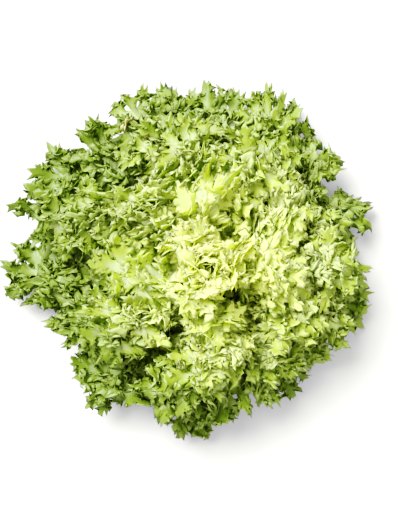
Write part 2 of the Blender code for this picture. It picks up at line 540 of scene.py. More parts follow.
def unit(vectors: Array) -> Array:
    """Gives the vectors at a length of 1."""
    return vectors / np.maximum(np.linalg.norm(vectors, axis=-1, keepdims=True), 1e-9)


@functools.cache
def zip_rows(near: int, far: int) -> Array:
    """Gives the triangles between two rows of points.

    Args:
        near: The number of segments of the first row.
        far: The number of segments of the second.

    Returns:
        Three numbers a triangle, counted through the first row's points and then the second's.
    """
    triangles, i, j = [], 0, 0
    while i < near or j < far:
        if j == far or (i < near and (i + 1) / near <= (j + 1) / far):
            triangles.append((i, i + 1, near + 1 + j))
            i += 1
        else:
            triangles.append((i, near + 2 + j, near + 1 + j))
            j += 1
    return np.array(triangles)


class Fan:
    """One lobe of a leaf: a toothed fan on a neck, worked out flat and bent in its own directions."""

    def __init__(
        self,
        blade: "Blade",
        base: Array,
        spots: Spots,
        point: Array,
        teeth: int,
        pitch: float = 0.0,
        scale: float = 1.0,
    ) -> None:
        """Places the fan.

        Args:
            blade: The leaf that it grows on.
            base: The flat points that it grows from: x, y, wave and z.
            spots: The same points in the head.
            point: The flat x, y and wave of the lobe's point in the solid model.
            teeth: The number of teeth on each side.
            pitch: How far it stands up from the blade, in radians.
            scale: Its breadth as a share of the usual one.
        """
        self.blade, self.frill, self.draw = blade, blade.frill, blade.draw
        self.habit = blade.habit
        self.base, self.spots, self.teeth = base, spots, teeth
        self.half = len(base) // 2
        self.centre = base[self.half, :2]
        self.shape, self.axis = self.draw_shape(self.centre, point)
        self.shape.pitch += pitch
        self.shape.breadth *= scale
        self.across = np.array([-self.axis[1], self.axis[0]])
        if self.across @ (base[-1, :2] - base[0, :2]) < 0:
            self.across = -self.across
        reach = base[:, :2] - self.centre
        self.local = np.stack([reach @ self.axis, reach @ self.across], 1)
        directions = np.stack([spots.outward[self.half], spots.around[self.half]])
        self.up = spots.up[self.half]
        ahead, rise = math.cos(self.shape.pitch), math.sin(self.shape.pitch)
        onward = self.axis @ directions
        self.frame = np.stack(
            [onward * ahead + self.up * rise, self.across @ directions, self.up * ahead - onward * rise]
        )

    def grow(self, base_row: Array, flipped: bool) -> None:
        """Adds the fan's points and triangles to its leaf.

        Args:
            base_row: The numbers of the points that the fan grows from.
            flipped: Whether the lobe is on the leaf's other side.
        """
        columns = len(self.frill.tooth_profile) * self.teeth
        segments = [max(2, round(share * columns)) for share in self.frill.row_shares]
        middle: dict[int, Array] = {}
        for side in (-1, 1):
            corner = self.local[self.half + side * np.arange(self.half + 1)]
            numbers_at_base = base_row[self.half + side * np.arange(self.half + 1)]
            outline, fingers = self.outline(float(np.abs(corner[-1, 1])), side)
            toothed, comb = self.add_teeth(outline, side)
            before = np.array([])
            for row, (w, count) in enumerate(zip(self.frill.fan_rows, segments)):
                u = np.arange(count + 1) / count
                target = resample(mix(outline, resample(toothed, np.linspace(0, 1, len(outline))), w**4), u)
                if w == 1.0:
                    target = toothed
                spine = np.stack([self.frill.spine * self.shape.length * u, np.zeros(count + 1)], 1)
                flat = mix(spine, target, w)
                flat = flat + (corner[row] - flat[0]) * ((1 - u) ** 2)[:, None]
                if row == 0 and side == 1:
                    numbers = middle[0]
                else:
                    lift = fingers(u)
                    points, marks = self.lift_off(flat, u, w, side, lift, self.half + side * row, comb)
                    numbers = self.blade.add_points(points, marks)
                    numbers[0] = numbers_at_base[row]
                    if side == 1:
                        numbers[-1] = middle[row][-1]
                    middle[row] = numbers
                if row:
                    self.blade.add_strip(before, numbers, flipped != (side == 1))
                before = numbers

    def lift_off(
        self, flat: Array, u: Array, w: float, side: int, lift: Array, start: int, comb: Array
    ) -> tuple[Array, Array]:
        """Bends one row of the fan and sets it in the head.

        Args:
            flat: (along, across) of the row's points.
            u: How far each is from the fan's base to its tip.
            w: How far out the row is, from 0 at the fan's spine to 1 at its edge.
            side: -1 or 1.
            lift: How far the fan's finger rises at each point.
            start: Which point of the base the row starts from.
            comb: What add_teeth gives.

        Returns:
            The points in millimetres, and their thickness, edge, comb and burn.
        """
        shape, frill, spots = self.shape, self.frill, self.spots
        bent = self.bend(flat, u, w, side)
        away = ease(flat[:, 0] / shape.length, 0.0, 0.8)
        teeth = np.linspace(0, 1, len(comb))
        wave, depth = float(self.base[self.half, 2]), float(spots.depth[self.half])
        bent[:, 2] += (shape.wave * frill.lobe_wave_share - wave) * depth * away
        bent[:, 2] += frill.tooth_lift * np.interp(u, teeth, comb[:, 1]) * w**5 * away + lift * w * w * away
        centre = spots.points[self.half]
        move = bent @ self.frame
        height = move @ self.up
        most = self.habit.most_wave
        limited = (most * np.tanh((wave + height / depth) / most) - wave) * depth
        points = centre + move + (limited - height)[:, None] * self.up
        at_base = centre + np.append(self.local[start], 0.0) @ self.frame
        points += (spots.points[start] - at_base) * ((1 - u) ** 3)[:, None]
        marks = np.stack(
            [
                np.full(len(u), frill.blade_thick * (1 + 0.8 * (1 - w))),
                mix(0.3, 1.0, np.maximum(w * w, away * 0.6)),
                np.interp(u, teeth, comb[:, 0]),
                shape.burn * away * w**3,
            ],
            1,
        )
        return points, marks

    def outline(self, base_half: float, side: int) -> tuple[Array, Callable[[Array], Array]]:
        """Draws one side of a fan.

        Args:
            base_half: Half the width of its base.
            side: -1 or 1.

        Returns:
            Its slit outline from base to tip, as evenly spaced (along, across) points, and a function that
            gives how far its fingers rise at shares of the outline's length.
        """
        shape, frill, draw = self.shape, self.frill, self.draw
        length, breadth = shape.length, shape.breadth
        uneven = [draw.uniform(*frill.uneven) for _ in range(4)]
        corners = np.array(
            [
                (0.0, base_half),
                (0.16 * length, mix(base_half, shape.neck, 0.8)),
                (0.34 * length * uneven[0], mix(shape.neck, breadth, 0.35)),
                (0.52 * length * uneven[1], 0.88 * breadth * uneven[2]),
                (0.72 * length, breadth * uneven[3]),
                (0.90 * length, 0.62 * breadth),
                (1.0 * length, 0.0),
            ]
        )
        dense = resample(corners, np.linspace(0, 1, 91))
        for _ in range(12):
            dense[1:-1] = (dense[:-2] + dense[2:]) / 2
        u = np.linspace(0, 1, 241)
        line = resample(dense, u)
        slits = draw.randint(*frill.slits)
        spans = [(n + draw.uniform(0.25, 0.75)) / slits * frill.slit_span for n in range(slits)]
        places = [frill.slit_start + span for span in spans]
        for place in places:
            depth = draw.uniform(*frill.slit_depth) * np.exp(-(((u - place) / frill.slit_width) ** 2))
            line = mix(line, np.array([frill.hub * length, 0.0]), depth[:, None])
        sign = draw.choice((-1, 1))
        knots = [frill.fingers_start]
        lifts = [0.0]
        for start, end in zip(knots + places, places + [1.0]):
            knots.append((start + end) / 2)
            lift = draw.uniform(*frill.finger_lift) * self.habit.frilled
            lifts.append(sign * lift * ease(1.0 - knots[-1], 0.0, 0.15))
            sign = -sign
        knots.append(1.0)
        lifts.append(0.0)
        line[:, 1] *= side
        return resample(line, np.linspace(0, 1, 181)), lambda shares: np.interp(shares, knots, lifts)

    def add_teeth(self, outline: Array, side: int) -> tuple[Array, Array]:
        """Cuts an outline into teeth.

        Args:
            outline: One side of a fan, from its base to its tip.
            side: -1 or 1.

        Returns:
            The toothed line with three points to a tooth, and for each of them the count of teeth so far and
            the lift of its tooth.
        """
        frill, draw, teeth = self.frill, self.draw, self.teeth
        columns = len(frill.tooth_profile)
        count = columns * teeth
        u = np.arange(count + 1) / count
        line = resample(outline, u)
        along = np.gradient(line, axis=0)
        along /= np.maximum(np.linalg.norm(along, axis=1, keepdims=True), 1e-6)
        outward = np.stack([-along[:, 1], along[:, 0]], 1) * side
        sharp = np.array([frill.tooth_profile[i % columns] for i in range(count + 1)])
        sharp[-1] = 1.0
        sizes = np.repeat([draw.uniform(*frill.tooth_length) for _ in range(teeth + 1)], columns)[: count + 1]
        sizes = sizes * ease(u, 0.05, 0.45) * mix(0.8, 1.25, ease(u, 0.5, 1.0))
        toothed = line + (outward + along * frill.tooth_lean) * (sizes * sharp)[:, None]
        lifts = np.repeat([draw.uniform(-1, 1) for _ in range(teeth + 1)], columns)[: count + 1] * sharp
        lifts[-1] = 0.0
        toothed[-1] = outline[-1] + (sizes[-1], 0.0)
        return toothed, np.stack([u * teeth, lifts], 1)

    def draw_shape(self, centre: Array, point: Array) -> tuple[FanShape, Array]:
        """Draws a fan's shape.

        Args:
            centre: The middle of its base, flat.
            point: The flat x, y and wave of the lobe's point in the solid model.

        Returns:
            The shape, and the flat direction in which the fan grows.
        """
        frill, draw, habit = self.frill, self.draw, self.habit
        axis = point[:2] - centre
        length = min(max(float(np.hypot(*axis)), frill.least_length), habit.longest)
        length *= draw.uniform(*frill.fan_length)
        turn = math.atan2(axis[1], axis[0]) + draw.uniform(-1, 1) * frill.fan_swing
        upward = 1.0 if point[2] > 0 else -1.0
        if draw.random() < frill.turned_over:
            upward = -upward
        shape = FanShape(
            length=length,
            pitch=habit.pitch + draw.uniform(-1, 1) * frill.pitch,
            breadth=draw.uniform(*habit.breadth),
            neck=draw.uniform(*frill.neck),
            curl=habit.curl + upward * draw.uniform(*frill.curl),
            twist=draw.uniform(-1, 1) * frill.twist,
            cup=draw.uniform(-1, 1) * frill.cup,
            ruffle=draw.uniform(*frill.ruffle) * habit.frilled,
            waves=draw.uniform(*frill.waves),
            phase=draw.uniform(0, math.tau),
            fine_ruffle=draw.uniform(*frill.fine_ruffle) * habit.frilled,
            fine_waves=draw.uniform(*frill.fine_waves),
            fine_phase=draw.uniform(0, math.tau),
            burn=1.0 if draw.random() < frill.browned and habit.browns else 0.0,
            wave=float(point[2]),
        )
        return shape, np.array([math.cos(turn), math.sin(turn)])

    def bend(self, flat: Array, u: Array, w: float, side: int) -> Array:
        """Bends a fan.

        Args:
            flat: (along, across) of a row of its points.
            u: How far each is from the fan's base to its tip.
            w: How far out the row is, from 0 at the fan's spine to 1 at its edge.
            side: -1 or 1.

        Returns:
            (along, across, up) of the same points.
        """
        shape = self.shape
        a, b = flat[:, 0], flat[:, 1]
        straight = self.frill.straight * shape.length
        curve = math.copysign(max(abs(shape.curl), 0.05), shape.curl) / (shape.length - straight)
        away = ease(a / shape.length, 0.0, 0.55)
        turn = shape.twist * np.clip(a / shape.length, 0.0, 1.2)
        across = b * np.cos(turn)
        lift = b * np.sin(turn) + shape.cup * (b / shape.breadth) ** 2 * shape.breadth * away
        reach = unit(np.stack([a - self.frill.hub * shape.length, b], 1))
        out = np.zeros(len(u))
        for waves, height, phase, power in (
            (shape.waves, shape.ruffle, shape.phase, self.frill.ruffle_powers[0]),
            (shape.fine_waves, shape.fine_ruffle, shape.fine_phase, self.frill.ruffle_powers[1]),
        ):
            angle = math.pi * waves * side * (1 - u) + phase
            grown = height * w**power * away
            lift = lift + grown * np.sin(angle)
            out = out - self.frill.overhang * grown * np.sin(2 * angle)
        across = across + out * reach[:, 1]
        past = np.maximum(a + out * reach[:, 0] - straight, 0.0)
        along = np.minimum(a, straight) + np.sin(curve * past) / curve
        # What rises across the fan leans with the bend of its spine.
        up = (1 - np.cos(curve * past)) / curve + lift * np.cos(curve * past)
        along = along - lift * np.sin(curve * past)
        return np.stack([along, across, up], 1)


class Blade:
    """The mesh of one leaf, worked out flat in millimetres and then laid into the leaf's layer of the head."""

    def __init__(self, form: HeadForm, growth: Growth, frill: Frill, plan: LeafPlan, seed: int) -> None:
        """Measures the leaf's midline, so that millimetres along it can be told from shares of its run.

        Args:
            form: The bowls of the head.
            growth: The numbers of the solid leaves.
            frill: How the real edge differs from theirs.
            plan: The leaf's own plan.
            seed: What its random draws start from.
        """
        self.form, self.growth, self.frill, self.plan = form, growth, frill, plan
        self.habit = HABITS[plan.group]
        self.draw = random.Random(seed)
        self.middle = (plan.low + plan.high) / 2
        self.runs = np.linspace(0.0, 1.3, 90)
        self.radii, heights = form.bowl(self.runs, np.full(90, self.middle), np.full(90, plan.azimuth))
        steps = np.hypot(np.diff(self.radii), np.diff(heights))
        self.arcs = np.concatenate([[0.0], np.cumsum(steps)])
        self.points: list[Array] = []
        self.marks: list[Array] = []
        self.faces: list[Array] = []
        self.count = 0
        self.rib_up = np.zeros((0, 3))

    def half_angle(self, run: Array) -> Array:
        """Fits the uncut blade into its sector.

        Args:
            run: 0 at the stem and 1 at the leaf's tip.

        Returns:
            Half the angle round the stem that the blade fills at each run.
        """
        g = self.growth
        radius = np.interp(run * self.plan.length, self.runs, self.radii)
        fits = np.maximum(radius * self.plan.half_sector - g.edge_gap, 1.0)
        return fits / radius * g.blade_fill * np.tanh(g.outline(run, self.plan.breadth) / fits)

    def flatten(self, run: float, side: float) -> Array:
        """Rolls a point of the leaf's edge out flat.

        Args:
            run: 0 at the stem and 1 at the leaf's tip.
            side: From -1 on one side to 1 on the other.

        Returns:
            Its flat (x, y) in millimetres.
        """
        stretched = run * self.plan.length
        radius = np.interp(stretched, self.runs, self.radii)
        return np.array([np.interp(stretched, self.runs, self.arcs), side * self.half_angle(run) * radius])

    def add_points(self, points: Array, marks: Array) -> Array:
        """Stores a row of points.

        Args:
            points: Their places in the head.
            marks: The thickness, edge, comb and burn of each.

        Returns:
            Their numbers.
        """
        self.points.append(points)
        self.marks.append(marks)
        numbers = np.arange(self.count, self.count + len(points))
        self.count += len(points)
        return numbers

    def add_strip(self, near: Array, far: Array, flipped: bool) -> None:
        """Joins two rows of points with triangles, whatever the number of points in each.

        Args:
            near: The numbers of the first row's points.
            far: The numbers of the second's.
            flipped: Whether the triangles face the other way.
        """
        pattern = zip_rows(len(near) - 1, len(far) - 1)
        triangles = np.concatenate([near, far])[pattern]
        whole = (
            (triangles[:, 0] != triangles[:, 1])
            & (triangles[:, 1] != triangles[:, 2])
            & (triangles[:, 0] != triangles[:, 2])
        )
        triangles = triangles[whole]
        self.faces.append(triangles[:, ::-1] if flipped else triangles)

    def grow(self) -> None:
        """Makes the flat leaf: the rib, a narrow lamina on both sides of it, and a fan at each lobe."""
        frill, plan = self.frill, self.plan
        notches = np.array([[*self.flatten(r, s), w] for r, s, w in plan.edge[0::2]])
        points = np.array([[*self.flatten(r, s), w] for r, s, w in plan.edge[1::2]])
        half = len(points) // 2
        self.deepen(notches, half)
        roots = np.minimum(notches[: half + 1, 0], notches[::-1][: half + 1, 0]) * frill.rib_behind
        roots = np.maximum.accumulate(np.minimum(roots, notches[half, 0] - frill.rib_end))
        across = len(frill.fan_rows) - 1
        columns = half * across * 2
        place = np.arange(columns + 1) / (across * 2)
        rib = np.zeros((columns + 1, 4))
        rib[:, 0] = np.interp(place, np.arange(half + 1), roots)
        rib_thick = mix(*frill.rib_thick, np.clip(rib[:, 0] / rib[-1, 0], 0, 1) ** 0.7)
        blank = np.zeros(columns + 1)
        spots = self.lay(rib)
        self.rib_up = spots.up
        rib_row = self.add_points(spots.points, np.stack([rib_thick, blank, blank, blank], 1))
        # The third phase is drawn and not used: without it every later draw would differ.
        phases = [self.draw.uniform(0, math.tau) for _ in range(3)]
        lengthways, crossways = frill.lamina_wavelengths
        # A lobe's base has a point for each row of its fan, close together where the rows are.
        steps = [1 - w for w in reversed(frill.fan_rows)] + [1 + w for w in frill.fan_rows[1:]]
        spaced = np.concatenate([k + np.array(steps[:-1]) / 2 for k in range(half)] + [[float(half)]])
        centre: list[int] = []
        for flipped, edge, tips in ((False, notches, points), (True, notches[::-1], points[::-1])):
            line = np.stack([np.interp(spaced, np.arange(half + 1), edge[: half + 1, i]) for i in range(3)], 1)
            far = np.maximum(np.hypot(*(line - rib[:, :3])[:, :2].T), 0.1)
            rows = [rib_row]
            for number, v in enumerate((np.minimum(0.6, frill.rib_half_width / far), blank + 1.0)):
                flat = np.zeros((columns + 1, 4))
                flat[:, :2] = mix(rib[:, :2], line[:, :2], v[:, None])
                flat[:, 2] = line[:, 2] * v * v
                wobble = np.sin(flat[:, 0] / lengthways + phases[0])
                wobble = wobble * np.sin(flat[:, 1] / crossways + phases[1])
                flat[:, 3] = frill.lamina_wave * v * wobble * ease(flat[:, 0], *frill.lamina_waves_start)
                thick = mix(rib_thick * 0.6, frill.blade_thick, ease(v, 0.1, 0.8))
                spots = self.lay(flat)
                numbers = self.add_points(spots.points, np.stack([thick, 0.3 * v, blank, blank], 1))
                if flipped:
                    numbers[-1] = centre[number]
                else:
                    centre.append(int(numbers[-1]))
                rows.append(numbers)
            for inner, outer in zip(rows, rows[1:]):
                self.add_strip(inner, outer, flipped)
            for lobe in range(self.habit.first_lobe, half):
                if frill.teeth[lobe]:
                    here = slice(lobe * across * 2, (lobe + 1) * across * 2 + 1)
                    base = Spots(*(part[here] for part in vars(spots).values()))
                    Fan(self, flat[here], base, tips[lobe], frill.teeth[lobe]).grow(rows[-1][here], flipped)
            for lobe in range(*self.habit.rib_fans):
                here = (lobe * 2 + 1) * across
                for share in frill.rib_fan_places:
                    self.add_rib_fan(mix(rib[here], flat[here], share), flipped)

    def add_rib_fan(self, middle: Array, flipped: bool) -> None:
        """Stands a small fan on the blade beside the rib.

        Args:
            middle: The flat point that it stands on: x, y, wave and z.
            flipped: Whether it stands on the leaf's other side.
        """
        frill, draw = self.frill, self.draw
        steps = np.array([-w for w in reversed(frill.fan_rows)] + list(frill.fan_rows[1:]))
        turn = draw.uniform(-1, 1) * frill.rib_fan_swing
        along, aside = math.cos(turn), math.sin(turn)
        flat = np.tile(middle, (len(steps), 1))
        flat[:, 0] += steps * frill.rib_fan_base * -aside
        flat[:, 1] += steps * frill.rib_fan_base * along
        spots = self.lay(flat)
        blank = np.zeros(len(flat))
        marks = np.stack([blank + frill.blade_thick, blank + 0.3, blank, blank], 1)
        numbers = self.add_points(spots.points, marks)
        point = middle[:3] + draw.uniform(*frill.rib_fan_length) * np.array([along, aside, 0.0])
        point[2] = 0.6
        pitch = draw.uniform(*self.habit.rib_fan_pitch)
        Fan(self, flat, spots, point, frill.rib_fan_teeth, pitch, frill.rib_fan_scale).grow(numbers, flipped)

    def deepen(self, notches: Array, half: int) -> None:
        """Cuts the notches of the blade nearer to the rib than the solid's, less so towards the stalk.

        Args:
            notches: The flat x, y and wave of each notch, which are changed in place.
            half: The number of lobes on one side.
        """
        frill = self.frill
        for number, notch in enumerate(notches):
            lobe = min(number, len(notches) - 1 - number)
            share = float(ease(lobe, 1.0, 4.0))
            left = mix(1.0, self.draw.uniform(*frill.cut_to), share)
            notch[1] *= left
            if lobe >= half - 2:
                notch[0] -= frill.tip_cut * (1.0 if lobe == half else 0.85)
        # The notches go forward along the leaf on both sides, however deep each one is.
        for side in (notches[: half + 1], notches[::-1][: half + 1]):
            side[:, 0] = np.maximum.accumulate(side[:, 0])

    def lay(self, flat: Array) -> Spots:
        """Lays flat points into the leaf's layer.

        Args:
            flat: Rows of x, y, wave and z in millimetres.

        Returns:
            Their places in the head.
        """
        g, plan = self.growth, self.plan
        stretched = np.interp(flat[:, 0], self.arcs, self.runs)
        radius = np.maximum(np.interp(stretched, self.runs, self.radii), 8.0)
        turn = flat[:, 1] / radius
        run = stretched / plan.length
        opened = ease(run, 0.0, g.spread_by)
        side = np.clip(turn / self.half_angle(run), -1.2, 1.2)
        wave = np.clip(flat[:, 2] + (plan.lift + plan.twist * side) * opened, -0.95, 0.95)
        azimuth = plan.azimuth + turn + plan.sway * plan.half_sector * opened
        half_layer = (plan.high - plan.low) / 2

        def place(stretch: Array, level: Array, direction: Array) -> Array:
            """Gives points of the head in millimetres."""
            out, up = self.form.bowl(stretch, level, direction)
            return np.stack([out * np.cos(direction), out * np.sin(direction), up], 1)

        middle = np.full(len(flat), self.middle)
        here = place(stretched, self.middle + wave * half_layer, azimuth)
        outward = unit(place(stretched + 0.01, middle, azimuth) - place(stretched - 0.01, middle, azimuth))
        around = unit(place(stretched, middle, azimuth + 0.01) - place(stretched, middle, azimuth - 0.01))
        above = place(stretched, middle + half_layer, azimuth)
        through = above - place(stretched, middle - half_layer, azimuth)
        up = unit(np.cross(outward, around))
        depth = np.sum(up * through, axis=1) / 2
        up *= np.sign(depth)[:, None]
        depth = np.maximum(np.abs(depth), 2.0)
        return Spots(here + up * flat[:, 3:4], outward, around, up, depth)

    def mesh(self) -> tuple[Array, Array, Array]:
        """Gives the leaf as a closed thin solid.

        Returns:
            Its points in millimetres, its triangles, and each point's edge, comb, burn and under values.
        """
        points, marks = np.concatenate(self.points), np.concatenate(self.marks)
        rib_up = np.zeros_like(points)
        rib_up[: len(self.rib_up)] = self.rib_up
        faces = np.concatenate(self.faces)
        # A triangle between three points of the margin would have no thickness, so it is left off.
        while (flat := self.on_margin(faces, len(points))[faces].all(axis=1)).any():
            faces = faces[~flat]
        used, faces = np.unique(faces, return_inverse=True)
        faces = faces.reshape(-1, 3)
        points, marks, rib_up = self.keep_clear(points[used]), marks[used], rib_up[used]
        corners = points[faces]
        face_normals = np.cross(corners[:, 1] - corners[:, 0], corners[:, 2] - corners[:, 0])
        normals = np.zeros_like(points)
        for corner in range(3):
            for axis in range(3):
                normals[:, axis] += np.bincount(faces[:, corner], face_normals[:, axis], len(points))
        normals = unit(normals)
        rim = self.on_margin(faces, len(points))
        half_thick = np.where(rim, 0.0, marks[:, 0] / 2)[:, None]
        upper, lower = points + normals * half_thick, points - normals * half_thick
        inner = np.flatnonzero(~rim)
        below = np.arange(len(points))
        below[inner] = len(points) + np.arange(len(inner))
        triangles = np.concatenate([faces, below[faces][:, ::-1]])
        # The face whose normals point up through the layer is the leaf's front, and the other its paler back.
        front_first = float(np.sum(normals * rib_up)) > 0
        values = np.column_stack([marks[:, 1:], np.full(len(points), 0.0 if front_first else 1.0)])
        lower_values = values[inner]
        lower_values[:, 3] = 1.0 - lower_values[:, 3]
        return np.concatenate([upper, lower[inner]]), triangles, np.concatenate([values, lower_values])

    @staticmethod
    def on_margin(faces: Array, count: int) -> Array:
        """Finds the margin of a sheet of triangles.

        Args:
            faces: The triangles.
            count: The number of points.

        Returns:
            Whether each point lies on the margin.
        """
        ends = np.sort(np.concatenate([faces[:, [0, 1]], faces[:, [1, 2]], faces[:, [2, 0]]]), axis=1)
        edges, times = np.unique(ends[:, 0] * count + ends[:, 1], return_counts=True)
        single = edges[times == 1]
        margin = np.zeros(count, bool)
        margin[single // count] = True
        margin[single % count] = True
        return margin

    def keep_clear(self, points: Array) -> Array:
        """Keeps points above the table, under the head's top and inside its reach.

        Args:
            points: Places in the head.

        Returns:
            The same places, with those that would pass these limits pressed into a little room beyond them.
        """
        frill, height = self.frill, points[:, 2]
        clear = points.copy()
        low = frill.floor_room * np.exp((height - frill.floor_room) / frill.floor_room)
        high = self.press(height, self.form.head_top, frill.top_room)
        clear[:, 2] = np.where(height < frill.floor_room, low, high)
        radius = np.hypot(points[:, 0], points[:, 1])
        reach = self.form.reach_at(np.arctan2(points[:, 1], points[:, 0]))
        clear[:, :2] *= (self.press(radius, reach, frill.side_room) / np.maximum(radius, 1e-6))[:, None]
        return clear

    @staticmethod
    def press(value: Array, limit: Any, room: float) -> Array:
        """Gives the value, with what lies past the limit pressed into the room."""
        over = np.maximum(value - limit, 0.0)
        return np.minimum(value, limit) + room * (1 - np.exp(-over / room))


@dataclass(frozen=True)
class Greening:
    """How green a place of the head is: from 0, the blanched heart, to 1, the darkest outer leaf; the side away
    from the light is painted greener as painted shade.
    """

    heart: tuple[float, float] = (4.0, 3.0)
    spread: float = 175.0
    by_place: float = 0.62
    by_whorl: float = 0.38
    shaded_side: float = math.radians(195)
    painted_side_shade: float = 0.11
    leaf_spread: float = 0.09

    def at(self, points: Array, whorl: int, whorls: int, differs: float) -> Array:
        """Says how green a leaf is.

        Args:
            points: The leaf's points in millimetres.
            whorl: The number of its whorl, counted inwards.
            whorls: The number of whorls in the head.
            differs: From -1 for a paler leaf than its neighbours to 1 for a greener one.

        Returns:
            The greenness of each point.
        """
        out = np.hypot(points[:, 0] - self.heart[0], points[:, 1] - self.heart[1]) / self.spread
        direction = np.arctan2(points[:, 1], points[:, 0])
        # Painted shade: the side away from the light, round shaded_side, is painted greener and darker, and the
        # lit side paler.
        side = self.painted_side_shade * np.cos(direction - self.shaded_side) * ease(out, 0.1, 0.7)
        age = 1 - whorl / (whorls - 1)
        green = self.by_place * ease(out, 0.12, 1.0) + self.by_whorl * age + side + differs * self.leaf_spread
        return np.clip(green, 0.0, 1.0)


@dataclass(frozen=True)
class LeafFinish:
    """Fresh leaf blade: waxy, so it has a soft sheen, and thin, so it glows where light comes through."""

    group: LeafGroup
    roughness: float
    see_through: float
    blade_stops: Stops = (
        (0.0, "#f8fcac"),
        (0.22, "#eaf586"),
        (0.45, "#b6c75a"),
        (0.70, "#8fa645"),
        (1.0, "#6e8335"),
    )
    rib_stops: Stops = (
        (0.0, "#f4f8c8"),
        (0.35, "#ebf3bc"),
        (0.7, "#c1d18d"),
        (1.0, "#9aae68"),
    )
    glow_stops: Stops = (
        (0.0, "#f6fd7e"),
        (0.35, "#cde238"),
        (1.0, "#7f9b14"),
    )
    browned: str = "#d6c78a"
    mottle_size: float = 7 * MM  # patches of a deeper green are 5 to 10 mm across
    mottle_depth: float = 0.34
    blister_size: float = 2.4 * MM  # the blade is quilted between its finest veins
    bump_depth: float = 0.5 * MM

    def build(self) -> bpy.types.Material:
        """Makes the material.

        Returns:
            The material, which reads the green, edge, comb, burn and under values of a leaf's points.
        """
        material = new_material(self.group.value + "_waxy_blade")
        tree = material.node_tree
        names = ("green", "edge", "comb", "burn", "under")
        values = [add_node(tree, "Attribute", {}, "Fac", attribute_name=name) for name in names]
        green, edge, comb, burn, under = values
        place = add_node(tree, "TexCoord", {}, "Object")
        # A fine vein runs to every tooth: comb counts the teeth round a fan.
        tooth = add_node(tree, "Math", {0: comb, 1: 0.5}, operation="PINGPONG")
        vein = add_node(tree, "MapRange", {0: tooth, 1: 0.3, 2: 0.5})
        patches = {"Vector": place, "Scale": 1 / self.mottle_size, "Detail": 3.0, "Roughness": 0.6}
        mottle = add_node(tree, "TexNoise", patches)
        centred = {0: mottle, 1: self.mottle_depth, 2: -self.mottle_depth / 2}
        patchy = add_node(tree, "Math", centred, operation="MULTIPLY_ADD")
        mottled = add_node(tree, "Math", {0: green, 1: patchy}, operation="ADD")
        blade = add_node(tree, "ValToRGB", {0: mottled}, stops=self.blade_stops)
        rib = add_node(tree, "ValToRGB", {0: green}, stops=self.rib_stops)
        glow = add_node(tree, "ValToRGB", {0: mottled}, stops=self.glow_stops)
        # The rib and the veins are pale, and the blade greens towards its edge.
        outward = add_node(tree, "MapRange", {0: edge, 1: 0.12, 2: 0.62}, interpolation_type="SMOOTHSTEP")
        # A tooth's thin rim is painted paler, as a painted highlight along the margin.
        rim = add_node(tree, "MapRange", {0: edge, 1: 0.86, 2: 1.0, 4: -0.6})
        outward = add_node(tree, "Math", {0: outward, 1: rim}, operation="ADD")
        less = add_node(tree, "Math", {0: vein, 1: -0.16, 2: outward}, operation="MULTIPLY_ADD")
        fresh = add_node(tree, "Mix", {0: less, 6: rib, 7: blade}, 2, data_type="RGBA", clamp_factor=True)
        back = add_node(tree, "Math", {0: under, 1: 0.3}, operation="MULTIPLY")
        paler = add_node(tree, "Mix", {0: back, 6: fresh, 7: rib}, 2, data_type="RGBA")
        colour = add_node(tree, "Mix", {0: burn, 6: paler, 7: linear(self.browned)}, 2, data_type="RGBA")
        quilt = {"Vector": place, "Scale": 1 / self.blister_size, "Detail": 2.0, "Roughness": 0.5}
        blister = add_node(tree, "TexNoise", quilt)
        veined = add_node(tree, "Math", {0: vein, 1: 0.6, 2: blister}, operation="MULTIPLY_ADD")
        bump = add_node(tree, "Bump", {"Strength": 0.35, "Distance": self.bump_depth, "Height": veined})
        wax = {"Base Color": colour, "Roughness": self.roughness, "IOR": 1.42, "Specular IOR Level": 0.55}
        skin = add_node(tree, "BsdfPrincipled", wax | {"Normal": bump})
        through = add_node(tree, "BsdfTranslucent", {"Color": glow, "Normal": bump})
        thin = add_node(tree, "MixShader", {0: self.see_through, 1: skin, 2: through})
        add_node(tree, "OutputMaterial", {"Surface": thin})
        return material


def make_object(name: str, points: Array, triangles: Array, material: bpy.types.Material) -> bpy.types.Object:
    """Makes a smooth-shaded object.

    Args:
        name: Its name.
        points: Its points in millimetres.
        triangles: The numbers of each triangle's points.
        material: What it is dressed in.

    Returns:
        The object, which is in the scene.
    """
    mesh = bpy.data.meshes.new(name)
    mesh.vertices.add(len(points))
    mesh.vertices.foreach_set("co", (points * MM).astype(np.float32).ravel())
    mesh.loops.add(3 * len(triangles))
    mesh.loops.foreach_set("vertex_index", triangles.astype(np.int32).ravel())
    mesh.polygons.add(len(triangles))
    mesh.polygons.foreach_set("loop_start", np.arange(0, 3 * len(triangles), 3, dtype=np.int32))
    mesh.update(calc_edges=True)
    mesh.shade_smooth()
    mesh.materials.append(material)
    piece = bpy.data.objects.new(name, mesh)
    bpy.context.scene.collection.objects.link(piece)
    return piece


